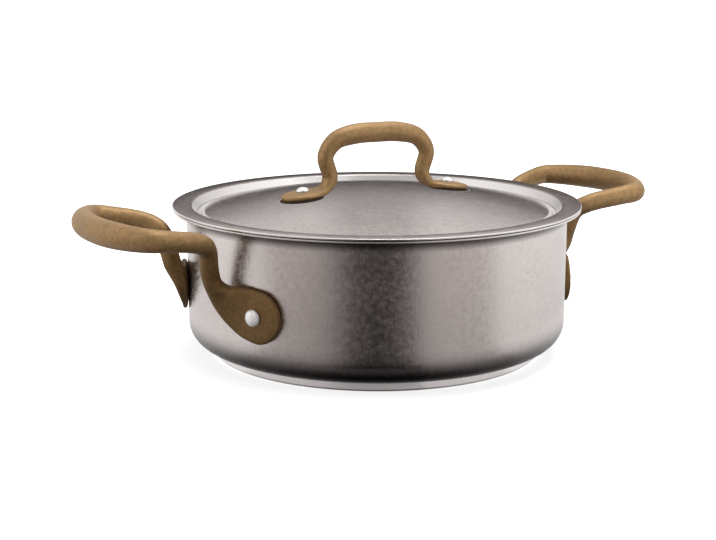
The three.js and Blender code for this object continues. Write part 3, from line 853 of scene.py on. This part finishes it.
# Each pair is a bearing, in degrees to the right of the camera, or a height in metres, and a brightness.
# A back's second list says how far it covers the sides at each bearing.
SIDES = [
    (-180, 0.15), (-163, 0.2), (-152, 1.0), (-53, 1.0), (-47, 0.56), (-28, 0.46), (-19, 0.38),
    (-12, 0.11), (-6, 0.05), (3, 0.04), (10, 0.065), (15.5, 0.11), (17, 0.52), (25, 0.58),
    (50, 0.60), (54, 1.0), (152, 1.0), (163, 0.2), (180, 0.15),
]
BACK = (
    [(0.09, 0.025), (0.115, 0.085), (0.14, 0.26), (0.17, 0.4), (0.36, 0.73)],
    [(-132, 1), (-114, 0), (114, 0), (132, 1)],
)
BACK_BESIDE_MIDDLE = (
    [(0.09, 0.03), (0.115, 0.09), (0.14, 0.28), (0.165, 0.46), (0.19, 0.64), (0.21, 0.73), (0.36, 0.86)],
    [(-173, 0), (-163, 1), (-132, 1), (-114, 0), (114, 0), (132, 1), (163, 1), (173, 0)],
)


def mirrored_only(cloth):
    """Leaves a piece of the stage visible in reflections and nowhere else."""
    cloth.visible_camera = cloth.visible_diffuse = cloth.visible_shadow = False
    cloth.visible_transmission = cloth.visible_volume_scatter = False


def warm_ramp(tree, value, stops, first, last):
    """A ramp of greys, warmer where dark. Stops are (place, brightness), with places from first to last."""
    ramp = tree.nodes.new("ShaderNodeValToRGB")
    elements = ramp.color_ramp.elements
    while len(elements) > 1:
        elements.remove(elements[-1])
    for count, (at, grey) in enumerate(stops):
        share = (at - first) / (last - first)
        element = elements[0] if count == 0 else elements.new(share)
        element.position = share
        element.color = (grey, grey * (0.9 + 0.1 * grey), grey * (0.88 + 0.12 * grey), 1)
    tree.links.new(value, ramp.inputs["Fac"])
    return ramp.outputs["Color"]


bpy.ops.object.select_all(action="DESELECT")
bpy.ops.mesh.primitive_cylinder_add(
    vertices=144, radius=TENT_RADIUS, depth=TENT_TOP, end_fill_type="NOTHING", location=(0, 0, TENT_TOP / 2)
)
bpy.ops.object.transform_apply(location=True, rotation=True, scale=True)
tent = bpy.context.object
tent.name = "mirrored_tent"
tent_cloth = bpy.data.materials.new("tent_cloth")
tent_cloth.use_nodes = True
tree = tent_cloth.node_tree
tree.nodes.clear()
place = tree.nodes.new("ShaderNodeTexCoord").outputs["Object"]
to_camera = tree.nodes.new("ShaderNodeMapping")
to_camera.inputs["Rotation"].default_value = (0, 0, math.pi / 2 - CAMERA_AZIMUTH)
tree.links.new(place, to_camera.inputs["Vector"])
around = tree.nodes.new("ShaderNodeTexGradient")
around.gradient_type = "RADIAL"
tree.links.new(to_camera.outputs["Vector"], around.inputs["Vector"])
bearing = around.outputs["Fac"]
above_floor = along_axis(tree, place, "Z")
height = maths(tree, "DIVIDE", above_floor, TENT_TOP)
over_wall = maths(tree, "GREATER_THAN", above_floor, BACK_FOOT)

sides = warm_ramp(tree, bearing, SIDES, -180, 180)
# High up the sides are paler, and the back has its own greys by height.
paler = mixed(tree, HIGH_PALER, sides, (1, 1, 1))
high_up = warm_ramp(tree, height, [(HIGH_FROM, 0), (HIGH_FULLY, 1)], 0, TENT_TOP)
cloth = mixed(tree, high_up, sides, paler)
for by_height, by_bearing in (BACK, BACK_BESIDE_MIDDLE):
    back = warm_ramp(tree, height, by_height, 0, TENT_TOP)
    behind = maths(tree, "MULTIPLY", warm_ramp(tree, bearing, by_bearing, -180, 180), over_wall)
    cloth = mixed(tree, behind, cloth, back)
glow = tree.nodes.new("ShaderNodeEmission")
tree.links.new(cloth, glow.inputs["Color"])
tree.links.new(ranged(tree, above_floor, 0.0, LOW_SHADE_TOP, *LOW_SHADE), glow.inputs["Strength"])
out = tree.nodes.new("ShaderNodeOutputMaterial")
tree.links.new(glow.outputs["Emission"], out.inputs["Surface"])
tent.data.materials.append(tent_cloth)
mirrored_only(tent)

# The mat is as bright as the cloth to a flat ray from the wall, and dark to a steep one from the corner.
# Close to the base it is paler all round.
MAT_DROP = 0.0001
STEEP_SHADE = 0.03
FLAT_FROM = 0.8
PALE_TO, PALE_GONE = 0.118, 0.150
PALE_SHARE = 0.46

bpy.ops.object.select_all(action="DESELECT")
bpy.ops.mesh.primitive_circle_add(
    vertices=96, radius=TENT_RADIUS, fill_type="NGON", location=(0, 0, -MAT_DROP)
)
bpy.ops.object.transform_apply(location=True, rotation=True, scale=True)
mat = bpy.context.object
mat.name = "mirrored_floor_mat"
floor_mat = tent_cloth.copy()
floor_mat.name = "floor_mat"
tree = floor_mat.node_tree
glow = tree.nodes["Emission"]
slant = tree.nodes.new("ShaderNodeLayerWeight")
slant.inputs["Blend"].default_value = 0.5
shade = ranged(tree, slant.outputs["Facing"], 0.0, FLAT_FROM, STEEP_SHADE, 1.0)
tree.links.new(shade, glow.inputs["Strength"])
from_middle = vectors(tree, "LENGTH", tree.nodes["Texture Coordinate"].outputs["Object"])
by_base = ranged(tree, from_middle, PALE_TO, PALE_GONE, PALE_SHARE, 0.0)
laid_over(tree, glow.inputs["Color"], by_base, (1, 1, 1))
mat.data.materials.append(floor_mat)
mirrored_only(mat)


# Camera. It stands where the photograph was taken from, on the pot's left front and a little above the
# lid, and has the same lens.
CAMERA_DISTANCE = 0.89016
CAMERA_HEIGHT = 0.24296
LOOK_DOWN = 0.2136
LOOK_LEFT = 0.0134
FOCAL_PIXELS = 1401.97
PHOTO_WIDTH = 716
SENSOR_WIDTH = 36

lens = bpy.data.cameras.new("photo_camera")
lens.sensor_width = SENSOR_WIDTH
lens.sensor_fit = "HORIZONTAL"
lens.lens = SENSOR_WIDTH * FOCAL_PIXELS / PHOTO_WIDTH
camera = bpy.data.objects.new("photo_camera", lens)
camera.location = (
    CAMERA_DISTANCE * math.sin(CAMERA_AZIMUTH),
    -CAMERA_DISTANCE * math.cos(CAMERA_AZIMUTH),
    CAMERA_HEIGHT,
)
camera.rotation_euler = (math.pi / 2 - LOOK_DOWN, 0, CAMERA_AZIMUTH + LOOK_LEFT)
bpy.context.scene.collection.objects.link(camera)
bpy.context.scene.camera = camera
bpy.context.scene.view_settings.view_transform = "Standard"
